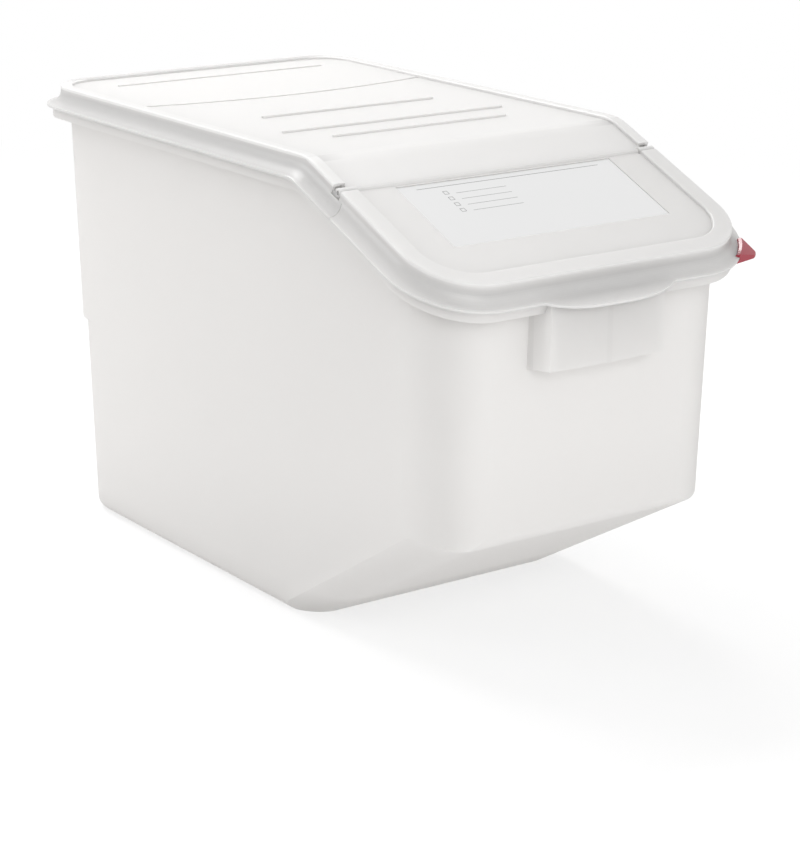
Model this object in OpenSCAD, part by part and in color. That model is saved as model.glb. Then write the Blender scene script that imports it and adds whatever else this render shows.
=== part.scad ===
// Ingredient bin for rice and other dry goods: a drafted tub with a stepped back and a
// sloped lower front, a lift-off rear lid, a front flap that flips up on two trunnions,
// a write-on label film and a push-on colour clip.
// Frame: origin at the centre of the flat base, front towards -Y, Z up.

/* [Overall] */
// Height from the floor to the top of the lid ridge
overall_h = 438; // [400:1:480]
// Width across the outside of the lid ridge
ridge_w = 348; // [300:1:380]
// Length of the level part of the lid, from the rear ridge to the bend
flat_len = 471; // [400:1:500]
// Length of the sloped part of the lid, from the bend to the front ridge
slope_len = 209.5; // [190:0.5:240]
// Angle of the sloped front below level
slope_angle = 22.8; // [15:0.1:28]
// Distance of the bend in front of the centre of the base
bend_y = 248; // [230:1:260]

/* [Tub] */
// Length of the flat base
base_len = 416; // [380:1:440]
// Width of the flat base
base_w = 308; // [280:1:330]
// Width of the tub under its rim
tub_top_w = 332; // [310:1:336]
// Wall thickness of the tub
wall = 3; // [2:0.1:4]
// Height of the crease where the front wall meets the sloped lower front
crease_h = 121; // [90:1:150]
// Distance of that crease in front of the centre of the base
crease_y = 420; // [400:1:424]
// Height of the step in the back wall
step_h = 202; // [160:1:240]
// Distance of the upper back wall behind the centre of the base
back_top_y = 229; // [220:1:230]
// Corner radius of the base, which grows with the draft of the walls
base_corner_r = 47; // [35:1:55]
// Radius of the long edges of the sloped lower front
slope_edge_r = 44; // [20:1:50]
// Radius of the crease above the sloped lower front
crease_r = 12; // [8:1:20]
// Radius between the walls and the base
base_edge_r = 12; // [6:1:16]

/* [Rim of the tub] */
// Reach of the rim outside the line of the lid ridge
rim_out = 6; // [4:0.5:7]
// How much further the rim reaches at the front and the back
rim_end = 5; // [2:0.5:6]
// Height of the down-turned edge of the rim
rim_drop = 11; // [8:0.5:14]
// Depth of the rim below the top of the lid ridge
rim_depth = 20; // [18:0.5:24]

/* [Handle] */
// Half the width of the handle where it leaves the wall
handle_half_w = 75; // [60:1:85]
// Half the width of the front face of the handle
handle_front_half_w = 62; // [45:1:70]
// Distance of the handle's front face from the centre of the base
handle_y = 445; // [442:1:448]
// Height of the lower edge of the handle
handle_low_z = 274; // [260:1:290]

/* [Lid] */
// Thickness of the lid and the flap
lid_t = 2.5; // [2:0.1:3]
// Depth of the panel below the ridge
panel_depth = 3; // [2:0.5:4]
// Width of the ridge round the rear lid
rear_ridge = 12; // [10:0.5:14]
// Width of the ridge round the flap
flap_ridge = 18; // [15:0.5:20]
// Corner radius of the ridge at the back
rear_corner_r = 46; // [40:1:60]
// Corner radius of the ridge at the front
flap_corner_r = 60; // [45:1:62]
// Reach of the lid's thin lip outside the ridge
lip_out = 14; // [13:0.5:15]
// Radius of the hollow under the ridge that flares out to the lip
cove_r = 12; // [10:0.5:12]
// Radius of the bend between the level and the sloped part
bend_r = 60; // [45:1:80]
// Height of the stiffening ribs on the panel
rib_h = 1.8; // [1:0.1:2.2]
// Width of the stiffening ribs on the panel
rib_w = 3.4; // [2:0.1:5]

/* [Hinge] */
// Place of the hinge axis down the slope from the bend
hinge_s = 53; // [48:0.5:58]
// Depth of the hinge axis below the top of the ridge
hinge_depth = 4.2; // [4:0.1:5]
// Radius of the trunnion pins
pin_r = 2; // [1.5:0.1:2.5]
// Running clearance of the pins in their sockets
pin_gap = 0.06; // [0.02:0.01:0.1]
// Radius of the rolled rear edge of the flap
roll_r = 2.8; // [2.5:0.1:3.2]
// Radius of the socket bosses
boss_r = 4; // [3.5:0.1:4.2]

/* [Label and clip] */
// Width of the label film
label_w = 236; // [200:1:260]
// Height of the label film along the slope
label_h = 92; // [70:1:94]
// Thickness of the label film
label_t = 0.4; // [0.2:0.1:0.6]
// Length of the colour clip along the lip
clip_len = 30; // [24:1:40]
// Reach of the colour clip outside the lip
clip_out = 13; // [10:0.5:16]

/* [Hidden] */
$fn = 96;
rear_y = flat_len - bend_y;
draft = (tub_top_w - base_w) / 2 / (overall_h - rim_depth);
corner_x = base_w / 2 - base_corner_r;
front_c = crease_y - base_corner_r - draft * crease_h;
low_back_c = base_len / 2 - base_corner_r;
high_back_c = back_top_y - base_corner_r - draft * (overall_h - rim_depth);
front_wall_y = front_c + base_corner_r + draft * handle_low_z;
low_back_y = base_len / 2 + draft * step_h;
low_angle = atan(crease_h / (crease_y - base_len / 2));
slope_half_w = base_w / 2 + draft * step_h + 1;
crease_t = (crease_y - crease_r - base_len / 2 + crease_r * sin(low_angle)) / cos(low_angle);
crease_c = [crease_r - crease_y, crease_t * sin(low_angle) + crease_r * cos(low_angle)];
step_slant = 12;
half_ridge = ridge_w / 2;
bend_t = bend_r * tan(slope_angle / 2);
rim_bend_t = 12.1;
rim_bend_r = round(10000 * rim_bend_t / tan(slope_angle / 2)) / 10000;
lip_gap = 0.3;
lip_depth = rim_depth - lip_gap;
socket_x = 156;
socket_len = 17.5;
socket_foot = 12;
roll_gap = 0.4;
seam_s = 62;
notch_rear_s = hinge_s - 7.6;
notch_front_s = hinge_s + boss_r + 0.6;
notch_depth = 9;
label_s = hinge_s + 5;
label_recess = 1;
label_gap = 0.4;
tab_half_w = 72;
tab_reach = 15;
clip_turn = -42;
split_s = 78;

// Points of an arc about [cu, cv], counted in equal steps
function arc(cu, cv, r, a0, a1, n) =
    [for (i = [0 : n]) let (a = a0 + (a1 - a0) * i / n) [cu + r * cos(a), cv + r * sin(a)]];

// Section of a lid edge: u outwards from the ridge line, v up from the ridge top
function lid_section(ridge, soft = 1.5) = concat(
    arc(-ridge + soft, -soft, soft, 180, 90, 4),
    arc(-soft, -soft, soft, 90, 0, 4),
    arc(cove_r, -lip_depth + lid_t + cove_r, cove_r, 180, 270, 10),
    [[lip_out, -lip_depth + lid_t - 0.4], [lip_out, -lip_depth]],
    arc(cove_r, -lip_depth + lid_t + cove_r, cove_r + lid_t, 270, 180, 10),
    [[-lid_t, -lid_t], [-ridge + lid_t, -lid_t]],
    [[-ridge + lid_t, -panel_depth - lid_t], [-ridge, -panel_depth - lid_t]]);

// Section of the tub's rim: a level flange with a down-turned edge
function rim_section() = [
    [-15, -rim_depth - lid_t], [-15, -rim_depth], [rim_out - 1, -rim_depth],
    [rim_out, -rim_depth - 1], [rim_out, -rim_depth - rim_drop],
    [rim_out - lid_t, -rim_depth - rim_drop], [rim_out - lid_t, -rim_depth - lid_t]];

// Section of the bead that locates the lid inside its hollow ridge
function bead_section() = [
    [-7.5, -rim_depth - 1], [-7.5, -6.5], [-7, -6], [-5.5, -6], [-5, -6.5], [-5, -rim_depth - 1]];

function swap(pts, x, r) = [for (p = pts) [r + p[1], x + p[0]]];
function shift(pts, x) = [for (p = pts) [x + p[0], p[1]]];

// Places its children in the frame of the slope: -Y runs down the slope from the bend
module on_slope() translate([0, -bend_y, overall_h]) rotate([slope_angle, 0, 0]) children();

module both_sides() {
    children();
    mirror([1, 0, 0]) children();
}

// A section carried straight along Y on the right-hand side
module side_run(pts, y0, y1) translate([0, y1, 0]) rotate([90, 0, 0])
    linear_extrude(y1 - y0) polygon(shift(pts, half_ridge));

// A section carried round a closed end of the outline: two corners and the run between them
module end_run(pts, end_y, r) {
    both_sides() translate([half_ridge - r, end_y - r, 0])
        rotate_extrude(angle = 90) polygon(shift(pts, r));
    translate([-(half_ridge - r), end_y - r, 0]) rotate([90, 0, 90])
        linear_extrude(2 * (half_ridge - r)) polygon(shift(pts, r));
}

// Turns its children, drawn as radius and width, through the bend
module through_bend(t = bend_t, r = bend_r)
    translate([0, -bend_y + t, overall_h]) translate([0, 0, -r])
        rotate([0, -90, 180]) rotate_extrude(angle = slope_angle, $fn = 180) children();

// A section carried through the bend on both sides
module bend_run(pts, t = bend_t, r = bend_r)
    both_sides() through_bend(t, r) polygon(swap(pts, half_ridge, r));

// A section carried round the level part of the lid outline, moved out by d at the back
module rear_run(pts, d = 0, t = bend_t) translate([0, 0, overall_h]) {
    both_sides() side_run(pts, -bend_y + t, rear_y + d - rear_corner_r);
    end_run(pts, rear_y + d, rear_corner_r);
}

// A section carried round the sloped part of the lid outline, from s0 down to the front
module front_run(pts, s0, d = 0) on_slope() {
    both_sides() side_run(pts, -slope_len - d + flap_corner_r, -s0);
    mirror([0, 1, 0]) end_run(pts, slope_len + d, flap_corner_r);
}

// A straight stretch of a section on the slope, from s0 to s1
module slope_stretch(pts, s0, s1) on_slope() both_sides() side_run(pts, -s1, -s0);

// Flat shape with two round corners at its far end
module end_plate(half_w, y0, y1, r) {
    translate([-half_w, y0]) square([2 * half_w, y1 - r - y0]);
    translate([-half_w + r, y0]) square([2 * (half_w - r), y1 - y0]);
    for (x = [-1, 1]) translate([x * (half_w - r), y1 - r]) circle(r);
}

// Radius of the tub's drafted corners at a height
function wall_r(z) = base_corner_r + draft * z;

// Profile of the tub's wall from its corner axis outwards, drawn in by d, with a round foot
function wall_profile(z0, z1, d, foot) = concat(
    [[0, z0]],
    foot > 0 ? arc(wall_r(z0 + foot) - d - foot, z0 + foot, foot, -90, 0, 6)
             : [[wall_r(z0) - d, z0]],
    [[wall_r(z1) - d, z1], [0, z1]]);

// Two round corners about centre_y and the wall between them
module wall_end(pts, centre_y) {
    both_sides() translate([corner_x, centre_y, 0]) rotate_extrude(angle = 90) polygon(pts);
    translate([-corner_x, centre_y, 0]) rotate([90, 0, 90])
        linear_extrude(2 * corner_x) polygon(pts);
}

// A drafted box with round corners
module drafted_box(front_c, back_c, z0, z1, d, foot) {
    pts = wall_profile(z0, z1, d, foot);
    wall_end(pts, back_c);
    mirror([0, 1, 0]) wall_end(pts, front_c);
    both_sides() translate([0, back_c, 0]) rotate([90, 0, 0])
        linear_extrude(front_c + back_c)
            polygon(concat([[0, z0]], shift(pts, corner_x), [[0, z1]]));
}

// Everything above the sloped lower front, whose long edges and crease are round
module above_slope(d) intersection() {
    translate([0, -base_len / 2, 0]) rotate([-low_angle, 0, 0])
        translate([0, 600, 0]) rotate([90, 0, 0]) linear_extrude(1000) mirror([0, 1])
            end_plate(slope_half_w - d, -700, -d, slope_edge_r - d);
    rotate([90, 0, 90]) linear_extrude(2 * base_w, center = true) polygon(concat(
        [[300, -60], [300, 500], [-crease_y - 40, 500]],
        arc(crease_c[0], crease_c[1], crease_r - d, 180, 270 - low_angle, 6),
        [[-150, -60]]));
}

// The slanted underside of the step in the back wall
module under_step(d) rotate([90, 0, 90]) linear_extrude(2 * base_w, center = true)
    polygon([[low_back_y - d, step_h - 5], [low_back_y - d, step_h + d],
             [back_top_y + 10, step_h + d + step_slant], [back_top_y + 10, step_h - 5]]);

// Outer shape of the tub, drawn in by d
module tub(d) {
    mid = step_h + d;
    intersection() {
        drafted_box(front_c, low_back_c, d, mid, d, base_edge_r - d);
        above_slope(d);
    }
    difference() {
        drafted_box(front_c, high_back_c, mid, overall_h, d, 0);
        under_step(d);
    }
}

// Everything below a surface that follows the lid at a depth
module below_lid(depth) {
    s_end = slope_len + 60;
    on_slope_y = [-bend_y - s_end * cos(slope_angle) + depth * sin(slope_angle),
                  overall_h - s_end * sin(slope_angle) - depth * cos(slope_angle)];
    crook = [-bend_y + depth * tan(slope_angle / 2), overall_h - depth];
    rotate([90, 0, 90]) linear_extrude(ridge_w + 100, center = true)
        polygon([[rear_y + 50, -50], [rear_y + 50, overall_h - depth], crook, on_slope_y,
                 [on_slope_y[0], -50]]);
}

// Plan of the handle apron, drawn in by d, with a lightly bowed front
module handle_plan(d) {
    back = 10 - front_wall_y;
    bow = 2.5;
    front_half = handle_front_half_w - d;
    polygon(concat(
        [[handle_half_w - d, back], [-handle_half_w + d, back]],
        [for (i = [-8 : 8]) let (x = i / 8) [x * front_half, -handle_y + d - bow * (1 - x * x)]]));
}

// Grip under the front rim: an apron open at the bottom, with a rib in the middle
module handle() {
    top_z = 331;
    apron = 2.8;
    difference() {
        translate([0, 0, handle_low_z]) linear_extrude(top_z - handle_low_z) handle_plan(0);
        translate([0, 0, handle_low_z - 1])
            linear_extrude(top_z - handle_low_z + 1 - apron) handle_plan(apron);
    }
    translate([-1.25, -handle_y, handle_low_z + 14])
        cube([2.5, handle_y - front_wall_y + 10, top_z - handle_low_z - 15]);
}

module bin_body() color([0.9, 0.91, 0.91, 0.6]) {
    difference() {
        intersection() {
            union() {
                tub(0);
                handle();
            }
            below_lid(rim_depth + lid_t / 2);
        }
        tub(wall);
    }
    rear_run(rim_section(), rim_end, rim_bend_t);
    bend_run(rim_section(), rim_bend_t, rim_bend_r);
    front_run(rim_section(), rim_bend_t, rim_end);
    rear_run(bead_section(), 0, rim_bend_t);
    bend_run(bead_section(), rim_bend_t, rim_bend_r);
    difference() {
        front_run(bead_section(), rim_bend_t);
        on_slope() both_sides() translate([half_ridge - 10, -hinge_s - 8, -socket_foot - 1])
            cube([8, 25, 20]);
    }
}

// A stiffening rib with round ends across the lid
module cross_rib(half_l, y) translate([0, y, overall_h - panel_depth - 0.5]) {
    linear_extrude(rib_h + 0.5) {
        square([2 * half_l - rib_w, rib_w], center = true);
        for (x = [-1, 1]) translate([x * (half_l - rib_w / 2), 0]) circle(d = rib_w);
    }
}

// Panel of the rear lid, with a shallow bowed step across it
module rear_panel() {
    half_w = half_ridge - rear_ridge + 1;
    step_y = 34;
    step_bow_r = 670;
    step_up = 0.8;
    r = rear_corner_r - rear_ridge + 1;
    front_y = -bend_y + bend_t;
    translate([0, 0, overall_h - panel_depth - lid_t]) {
        linear_extrude(lid_t) end_plate(half_w, front_y, rear_y - rear_ridge + 1, r);
        linear_extrude(lid_t + step_up) intersection() {
            end_plate(half_w, front_y, rear_y - rear_ridge + 1, r);
            translate([0, step_y + step_bow_r]) circle(step_bow_r, $fn = 720);
        }
    }
    top_r = bend_r - panel_depth;
    through_bend() polygon([[top_r - lid_t, -half_w], [top_r, -half_w],
                            [top_r, half_w], [top_r - lid_t, half_w]]);
    on_slope() difference() {
        translate([-half_w, -hinge_s, -panel_depth - lid_t])
            cube([2 * half_w, hinge_s - bend_t, lid_t]);
        hinge_space(roll_r + roll_gap, 2 * half_w);
    }
}

// A cylinder along the hinge axis, in the frame of the slope
module hinge_space(r, len) translate([0, -hinge_s, -hinge_depth]) rotate([0, 90, 0])
    cylinder(h = len, r = r, center = true, $fn = 64);

// Takes away what lies on one side of the joint between lid and flap: the gap in the ridge
// from s0 on, and the skirt beyond the slanted seam, both towards s1
module seam_cut(s0, s1, gap) on_slope() both_sides() translate([socket_x - 18, 0, 0])
    rotate([90, 0, 90]) linear_extrude(60) polygon([
        [-s0, 5], [-s0, -notch_depth], [-seam_s - gap, -notch_depth],
        [-seam_s - gap - 9.6, -notch_depth - 16], [-s1, -notch_depth - 16], [-s1, 5]]);

// Sockets on the rear lid that hold the flap's trunnions
module hinge_sockets() on_slope() both_sides() difference() {
    union() {
        translate([socket_x, -hinge_s, -hinge_depth]) rotate([0, 90, 0])
            cylinder(h = socket_len, r = boss_r, $fn = 64);
        translate([socket_x, -hinge_s, -socket_foot])
            cube([socket_len, hinge_s - notch_rear_s + 3, socket_foot - hinge_depth - 1]);
    }
    translate([socket_x - 1, -hinge_s, -hinge_depth]) rotate([0, 90, 0])
        cylinder(h = socket_len + 2, r = pin_r + pin_gap, $fn = 64);
}

module rear_lid() color([0.97, 0.97, 0.97]) {
    rear_run(lid_section(rear_ridge));
    bend_run(lid_section(rear_ridge));
    difference() {
        slope_stretch(lid_section(rear_ridge), bend_t, split_s);
        seam_cut(notch_rear_s, 100, 0);
    }
    rear_panel();
    cross_rib(121, 168.5);
    cross_rib(98, -59);
    cross_rib(124.5, -134);
    cross_rib(97.5, -175);
    hinge_sockets();
}

// Outline of the thumb tab that widens the lip in the middle of the front
function tab_outline() = concat(
    [[tab_half_w, -slope_len + 4], [-tab_half_w, -slope_len + 4]],
    [for (i = [-12 : 12]) let (x = i / 12)
        [x * tab_half_w, -slope_len - lip_out + 0.5 - tab_reach * (1 - pow(abs(x), 3))]]);

module front_flap() color([0.93, 0.94, 0.94, 0.8]) {
    half_w = half_ridge - flap_ridge + 1;
    front_run(lid_section(flap_ridge), split_s);
    difference() {
        slope_stretch(lid_section(flap_ridge), hinge_s, split_s);
        seam_cut(notch_front_s, 20, 0.8);
    }
    on_slope() {
        difference() {
            translate([0, 0, -panel_depth - lid_t]) linear_extrude(lid_t) mirror([0, 1])
                end_plate(half_w, notch_front_s, slope_len - flap_ridge + 1,
                          flap_corner_r - flap_ridge + 1);
            translate([-label_w / 2, -label_s - label_h, -panel_depth - label_recess])
                cube([label_w, label_h, 5]);
        }
        difference() {
            translate([-socket_x + 2, -notch_front_s, -panel_depth - lid_t])
                cube([2 * (socket_x - 2), notch_front_s - hinge_s, lid_t]);
            translate([-label_w / 2, -label_s - label_h, -panel_depth - label_recess])
                cube([label_w, label_h, 5]);
        }
        hinge_space(roll_r, 2 * (socket_x - 1));
        hinge_space(pin_r, 2 * (socket_x + socket_len - 1));
        translate([0, 0, -lip_depth]) linear_extrude(lid_t) difference() {
            polygon(tab_outline());
            translate([-tab_half_w, -slope_len - 2]) square([2 * tab_half_w, 8]);
        }
    }
}

module label_film() color([0.98, 0.98, 0.98]) on_slope()
    translate([-label_w / 2 + label_gap, -label_s - label_h + label_gap,
               -panel_depth - label_recess])
        cube([label_w - 2 * label_gap, label_h - 2 * label_gap, label_t]);

// Section of the colour clip across the lip: two jaws round its edge and a tapered tongue
function clip_section() = let (top = -lip_depth + lid_t, u = flap_corner_r + lip_out) concat(
    [[u - 4, top + 0.3], [u - 3.4, top + 2], [u - 1, top + 3.5]],
    arc(u + clip_out - 2, (top - lip_depth) / 2, 2, 75, -75, 6),
    [[u - 1, -lip_depth - 4], [u - 2.6, -lip_depth - 3.6], [u - 2.6, -lip_depth - 0.2],
     [u + 0.2, -lip_depth - 0.2], [u + 0.2, top + 0.2]]);

// Plan of the colour clip: straight sides from the lip to a round nose
function clip_plan() = let (u = flap_corner_r + lip_out, nose = 5) concat(
    [[u - 12, -clip_len / 2], [u - 2, -clip_len / 2]],
    arc(u + clip_out - nose, 0, nose, -52, 52, 12),
    [[u - 2, clip_len / 2], [u - 12, clip_len / 2]]);

module colour_clip() color([0.78, 0.02, 0.14]) on_slope()
    translate([half_ridge - flap_corner_r, flap_corner_r - slope_len, 0])
        rotate([0, 0, clip_turn]) intersection() {
            rotate([0, 0, -30]) rotate_extrude(angle = 60, $fn = 128) polygon(clip_section());
            translate([0, 0, -40]) linear_extrude(50) polygon(clip_plan());
        }

bin_body();
rear_lid();
front_flap();
label_film();
colour_clip();
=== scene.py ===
import math

import bpy
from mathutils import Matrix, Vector

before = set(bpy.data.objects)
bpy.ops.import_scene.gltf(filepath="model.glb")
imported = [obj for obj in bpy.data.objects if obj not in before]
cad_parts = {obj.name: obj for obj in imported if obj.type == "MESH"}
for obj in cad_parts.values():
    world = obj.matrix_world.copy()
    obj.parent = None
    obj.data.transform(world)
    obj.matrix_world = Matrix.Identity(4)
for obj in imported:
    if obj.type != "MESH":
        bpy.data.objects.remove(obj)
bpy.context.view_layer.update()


class Value:
    """A shader socket that plain arithmetic turns into Math nodes."""

    def __init__(self, tree, socket):
        self.tree = tree
        self.socket = socket

    def math(self, operation, *others):
        inputs = {i + 1: other for i, other in enumerate(others)}
        return self.tree.node("ShaderNodeMath", {"operation": operation}, {0: self, **inputs})

    def __add__(self, other):
        return self.math("ADD", other)

    def __mul__(self, other):
        return self.math("MULTIPLY", other)

    def __sub__(self, other):
        return self.math("SUBTRACT", other)

    def __rsub__(self, other):
        return self * -1 + other

    def __gt__(self, other):
        return self.math("GREATER_THAN", other)

    def __lt__(self, other):
        return self.math("LESS_THAN", other)

    def absolute(self):
        return self.math("ABSOLUTE")

    def out(self, name):
        return Value(self.tree, self.socket.node.outputs[name])


class Tree:
    """The node tree of one material or of the world."""

    def __init__(self, owner):
        owner.use_nodes = True
        self.nodes = owner.node_tree.nodes
        self.links = owner.node_tree.links
        self.nodes.clear()

    def node(self, kind, settings=None, inputs=None, output=0):
        made = self.nodes.new(kind)
        for key, value in (settings or {}).items():
            setattr(made, key, value)
        for key, value in (inputs or {}).items():
            if isinstance(value, Value):
                self.links.new(value.socket, made.inputs[key])
            else:
                made.inputs[key].default_value = value
        return Value(self, made.outputs[output])

    def smooth(self, value, start, end, low, high):
        """Low up to start, high from end, and an even curve between them."""
        return self.node("ShaderNodeMapRange", {"interpolation_type": "SMOOTHSTEP"}, {
            "Value": value, "From Min": start, "From Max": end, "To Min": low, "To Max": high})

    def mix(self, factor, low, high):
        settings = {"data_type": "RGBA"}
        return self.node("ShaderNodeMix", settings, {0: factor, 6: low, 7: high}, output=2)

    def finish(self, shader, kind="ShaderNodeOutputMaterial"):
        made = self.nodes.new(kind)
        self.links.new(shader.socket, made.inputs["Surface"])


def grey(shade, cool=0.0):
    return (shade * (1 - cool), shade, shade * (1 + cool), 1)


def new_material(name):
    material = bpy.data.materials.new(name)
    return material, Tree(material)


# Places on the object, in metres
SLOPE = math.radians(22.8)
OVERALL_H = 0.438
BEND_Y = 0.248
RIDGE_BAND = 0.0009
RIB_DEPTH = 0.0012
RIB_DEPTH_SLACK = 0.0001
SKIRT_DEPTH = 0.0032
BACK_RIDGE_Y = 0.211
SIDE_SKIRT_X = (0.13, 0.172)
GRIP_Y = -0.43
GRIP_HALF_X = 0.07
GRIP_TOP = 0.33
GRIP_RIB_HALF = 0.003
FOOT_RISE = (-0.02, 0.17)
FOOT_LEAN_Y = 0.2
FOOT_LEAN = 0.2

# Painted light and shade: how much lighter or darker each place is painted
HOLLOW_REACH = 0.03
FOOT_SHADE = 0.88
CORNER_SHADE = 0.12
GRIP_END_LIGHT = 0.22
GRIP_RIB_SHADE = 0.05
RIDGE_LIGHT = 0.05
BACK_RIDGE_SHADE = 0.24
RIB_SHADE = 0.08
FRONT_SKIRT_SHADE = 0.2
SLOPE_SHADE = 0.04
SLOPE_SHADE_TO_RIGHT = 0.25

# Print on the label film, in metres down and across it
LABEL_DOWN = 0.0584
LABEL_DEPTH = 0.0036
LABEL_TOP_Y = BEND_Y + LABEL_DOWN * math.cos(SLOPE) - LABEL_DEPTH * math.sin(SLOPE)
HEADING_DOWN = (0.006, 0.0067)
HEADING_ACROSS = (-0.1, 0.1)
ROWS = 4
FIRST_ROW = 0.018
ROW_PITCH = 0.009
RULE_WIDTH = 0.0005
RULE_ACROSS = (-0.066, -0.012)
BOX_ACROSS = (-0.078, -0.073)
BOX_HEIGHT = 0.0045
HOLE_ACROSS = (-0.0774, -0.0736)
HOLE_RISE = (0.0039, 0.0001)
PRINT = 0.16


def frosted_plastic(name, shade, through, roughness, hollow_shade, finish, depth):
    """Milky polypropylene: a satin skin over a body that lets some light through.

    Painted shade darkens its colour in its hollows, where less light reaches it from behind.
    finish returns the painted light and shade of each spot besides, and depth is how strongly it
    shades.
    """
    material, tree = new_material(name)
    hollow = tree.node("ShaderNodeAmbientOcclusion", {"samples": 8}, {"Distance": HOLLOW_REACH},
                       output="AO")
    here = tree.node("ShaderNodeTexCoord", output="Object")
    place = tree.node("ShaderNodeSeparateXYZ", inputs={0: here})
    facing = tree.node("ShaderNodeSeparateXYZ", inputs={0: here.out("Normal")})
    # Painted shade: ambient occlusion darkens the colour in hollows and creases.
    milk_with_painted_shade = hollow * (1 - hollow_shade) + hollow_shade
    milk_with_painted_shade = milk_with_painted_shade * shade * finish(tree, place, facing, depth)
    colour = tree.node("ShaderNodeCombineColor", inputs={
        "Red": milk_with_painted_shade * 1.004, "Green": milk_with_painted_shade, "Blue": milk_with_painted_shade * 0.994})
    grain = tree.node("ShaderNodeTexNoise", inputs={"Scale": 900.0, "Detail": 3.0})
    bump = tree.node("ShaderNodeBump", inputs={
        "Strength": 0.04, "Distance": 0.0004, "Height": grain})
    skin = tree.node("ShaderNodeBsdfPrincipled", inputs={
        "Base Color": colour, "Roughness": roughness, "IOR": 1.49, "Normal": bump})
    glow = tree.node("ShaderNodeBsdfTranslucent", inputs={"Color": grey(shade, -0.01)})
    tree.finish(tree.node("ShaderNodeMixShader", inputs={0: through, 1: skin, 2: glow}))
    return material


def tub_painted_shade(tree, place, facing, grip_dark):
    """Painted shade, darker low at the front, at the round corners, and on the grip with its rib
    behind.
    """
    # Painted shade towards the bottom and the front.
    lean = place.out("Z") + (place.out("Y") + FOOT_LEAN_Y) * FOOT_LEAN
    foot_painted_shade = tree.smooth(lean, *FOOT_RISE, FOOT_SHADE, 1.0)
    # Painted shade at the round corners.
    turn = facing.out("X") * facing.out("Y")
    half_x = place.out("X").absolute()
    grip = (place.out("Y") < GRIP_Y) * (half_x < GRIP_HALF_X) * (place.out("Z") < GRIP_TOP)
    # Painted shade over the grip and along its middle rib behind the wall, painted light on its
    # ends.
    rib_behind_painted_shade = (half_x < GRIP_RIB_HALF) * GRIP_RIB_SHADE
    grip_shade = grip * (facing.out("X").absolute() * GRIP_END_LIGHT - rib_behind_painted_shade - grip_dark)
    return foot_painted_shade * (1 - turn * turn * 4 * CORNER_SHADE) * (grip_shade + 1)


def lid_painted_light_and_shade(tree, place, facing, side_shade):
    """Painted highlight on the ridge except at the back, painted shade on the skirt and to the
    right.
    """
    depth = OVERALL_H - place.out("Z")
    slope_depth = depth * math.cos(SLOPE) + (place.out("Y") + BEND_Y) * math.sin(SLOPE)
    down = depth.math("MINIMUM", slope_depth)
    ridge = down < RIDGE_BAND
    rib_top = (depth < RIB_DEPTH + RIB_DEPTH_SLACK) * (depth > RIB_DEPTH - RIB_DEPTH_SLACK)
    back = place.out("Y") > BACK_RIDGE_Y
    skirt = down > SKIRT_DEPTH
    side = tree.smooth(place.out("X").absolute(), *SIDE_SKIRT_X, 0.0, 1.0)
    steep = 1 - facing.out("Z").absolute()
    # Painted shade on the skirt below the panel, stronger on its steep faces.
    shadow = side * side_shade + (1 - side) * steep * steep * FRONT_SKIRT_SHADE
    # Painted shade on the front slope, growing towards the right.
    slope_painted_shade = (place.out("Y") < -BEND_Y) * (place.out("X") * SLOPE_SHADE_TO_RIGHT + SLOPE_SHADE)
    # Painted highlight on the ridge top, painted shade on the ridge at the back and on the rib
    # tops.
    light = (ridge * RIDGE_LIGHT + 1) * (1 - ridge * back * BACK_RIDGE_SHADE)
    return light * (1 - rib_top * RIB_SHADE) * (1 - skirt * shadow) * (1 - slope_painted_shade)


def solid_plastic(name, colour, roughness, coat):
    material, tree = new_material(name)
    tree.finish(tree.node("ShaderNodeBsdfPrincipled", inputs={
        "Base Color": colour, "Roughness": roughness, "IOR": 1.5, "Coat Weight": coat}))
    return material


def within(value, low, high):
    return (value > low) * (value < high)


def ruled_film(name, shade):
    """Blank write-on film with a heading rule, short lines to write on and tick boxes."""
    material, tree = new_material(name)
    here = tree.node("ShaderNodeTexCoord", output="Object")
    split = tree.node("ShaderNodeSeparateXYZ", inputs={0: here})
    across = split.out("X")
    down = (split.out("Y") * -1 - LABEL_TOP_Y) * (1 / math.cos(SLOPE))
    rules = within(down, *HEADING_DOWN) * within(across, *HEADING_ACROSS)
    for row in range(ROWS):
        top = FIRST_ROW + ROW_PITCH * row
        rules = rules + within(down, top, top + RULE_WIDTH) * within(across, *RULE_ACROSS)
        box = within(down, top - BOX_HEIGHT, top + RULE_WIDTH) * within(across, *BOX_ACROSS)
        hole = within(down, top - HOLE_RISE[0], top - HOLE_RISE[1]) * within(across, *HOLE_ACROSS)
        rules = rules + box - hole
    colour = tree.mix(rules, grey(shade), grey(PRINT))
    tree.finish(tree.node("ShaderNodeBsdfPrincipled", inputs={
        "Base Color": colour, "Roughness": 0.3, "IOR": 1.5}))
    return material


def wear(node, material):
    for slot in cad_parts[node].material_slots:
        slot.material = material


# Each plastic's colour carries painted light and shade, set by its shade function and the last
# number.
wear("bin_body", frosted_plastic("frosted tub", 0.94, 0.6, 0.34, 0.58, tub_painted_shade, 0.08))
wear("rear_lid", frosted_plastic("white lid", 0.89, 0.45, 0.26, 0.58, lid_painted_light_and_shade, 0.24))
wear("front_flap", frosted_plastic("frosted flap", 0.88, 0.5, 0.26, 0.6, lid_painted_light_and_shade, 0.15))
wear("label_film", ruled_film("label film", 0.58))
wear("colour_clip", solid_plastic("crimson clip", (0.26, 0.006, 0.022, 1), 0.25, 0.3))

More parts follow.
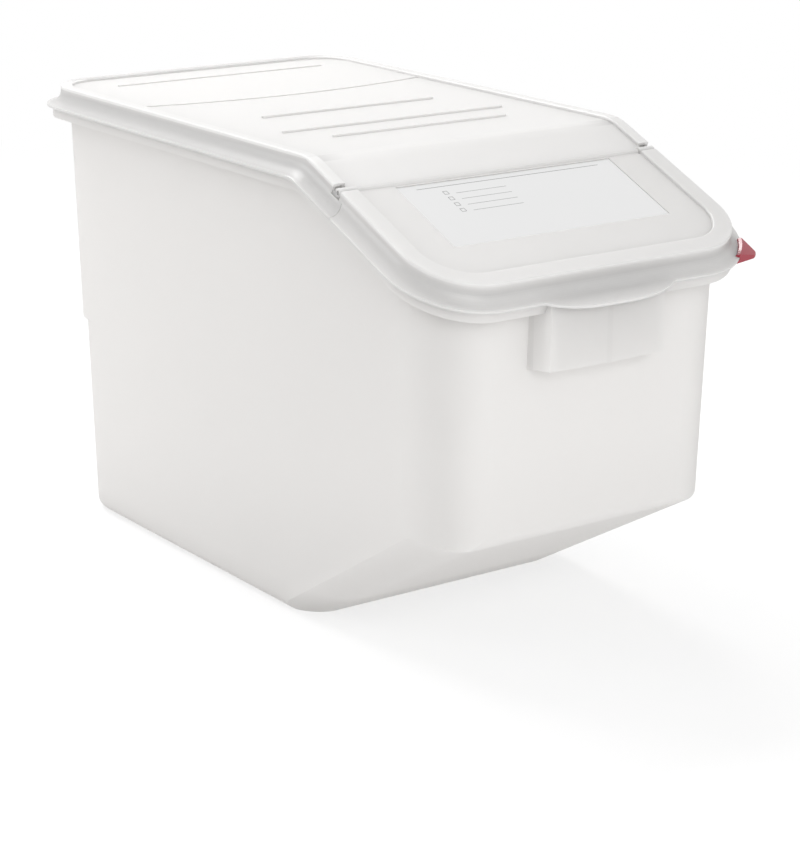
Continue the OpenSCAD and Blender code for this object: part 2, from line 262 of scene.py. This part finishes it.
# Floor, which turns to plain white away from the object
FLOOR_HALF = 6.0
FLOOR_Z = -0.0005
bpy.ops.mesh.primitive_plane_add(size=2 * FLOOR_HALF, location=(0, 0, FLOOR_Z))
floor = bpy.context.object
floor.name = "studio_floor"
floor_material, tree = new_material("studio floor")
here = tree.node("ShaderNodeTexCoord", output="Object")
reach = tree.node("ShaderNodeVectorMath", {"operation": "LENGTH"}, {0: here}, output="Value")
away = tree.smooth(reach, 0.6, 2.2, 0.66, 1.0)
shaded = tree.node("ShaderNodeBsdfDiffuse", inputs={"Color": grey(0.9)})
white = tree.node("ShaderNodeEmission", inputs={"Color": grey(1.0), "Strength": 1.0})
tree.finish(tree.node("ShaderNodeMixShader", inputs={0: away, 1: shaded, 2: white}))
floor.data.materials.append(floor_material)

# White background to the eye and in gloss, and a softer sky as light
world = bpy.data.worlds.new("studio")
bpy.context.scene.world = world
tree = Tree(world)
rays = tree.node("ShaderNodeLightPath")
seen = rays.out("Is Camera Ray")
for ray in ("Is Glossy Ray", "Is Transmission Ray"):
    seen = seen.math("MAXIMUM", rays.out(ray))
sky = tree.node("ShaderNodeBackground", inputs={"Color": grey(0.7), "Strength": 1.0})
backdrop = tree.node("ShaderNodeBackground", inputs={"Color": grey(1.0), "Strength": 1.0})
tree.finish(tree.node("ShaderNodeMixShader", inputs={0: seen, 1: sky, 2: backdrop}),
            "ShaderNodeOutputWorld")


def soft_light(name, place, aim, size, power):
    lamp = bpy.data.lights.new(name, "AREA")
    lamp.shape = "RECTANGLE"
    lamp.size, lamp.size_y = size
    lamp.energy = power
    holder = bpy.data.objects.new(name, lamp)
    bpy.context.collection.objects.link(holder)
    holder.location = place
    holder.rotation_euler = (Vector(aim) - Vector(place)).to_track_quat("-Z", "Y").to_euler()


soft_light("top light", (0.0, 1.3, 2.2), (0, -0.05, 0.3), (2.4, 1.2), 60)
soft_light("left light", (-2.4, 1.8, 1.0), (0, 0, 0.2), (1.4, 1.8), 33)
soft_light("front light", (-0.4, -2.8, 1.0), (0, 0, 0.2), (1.4, 1.8), 36)

# Camera, at the photograph's place
EYE = (-1.34989, -2.02586, 0.84370)
TURN = tuple(math.radians(a) for a in (73.1078, -0.2959, -35.5704))
LENS = 114.18
eye = bpy.data.cameras.new("camera")
eye.sensor_fit = "HORIZONTAL"
eye.sensor_width = 36
eye.lens = LENS
camera = bpy.data.objects.new("camera", eye)
camera.location = EYE
camera.rotation_euler = TURN
bpy.context.collection.objects.link(camera)
bpy.context.scene.camera = camera
bpy.context.scene.view_settings.view_transform = "Standard"
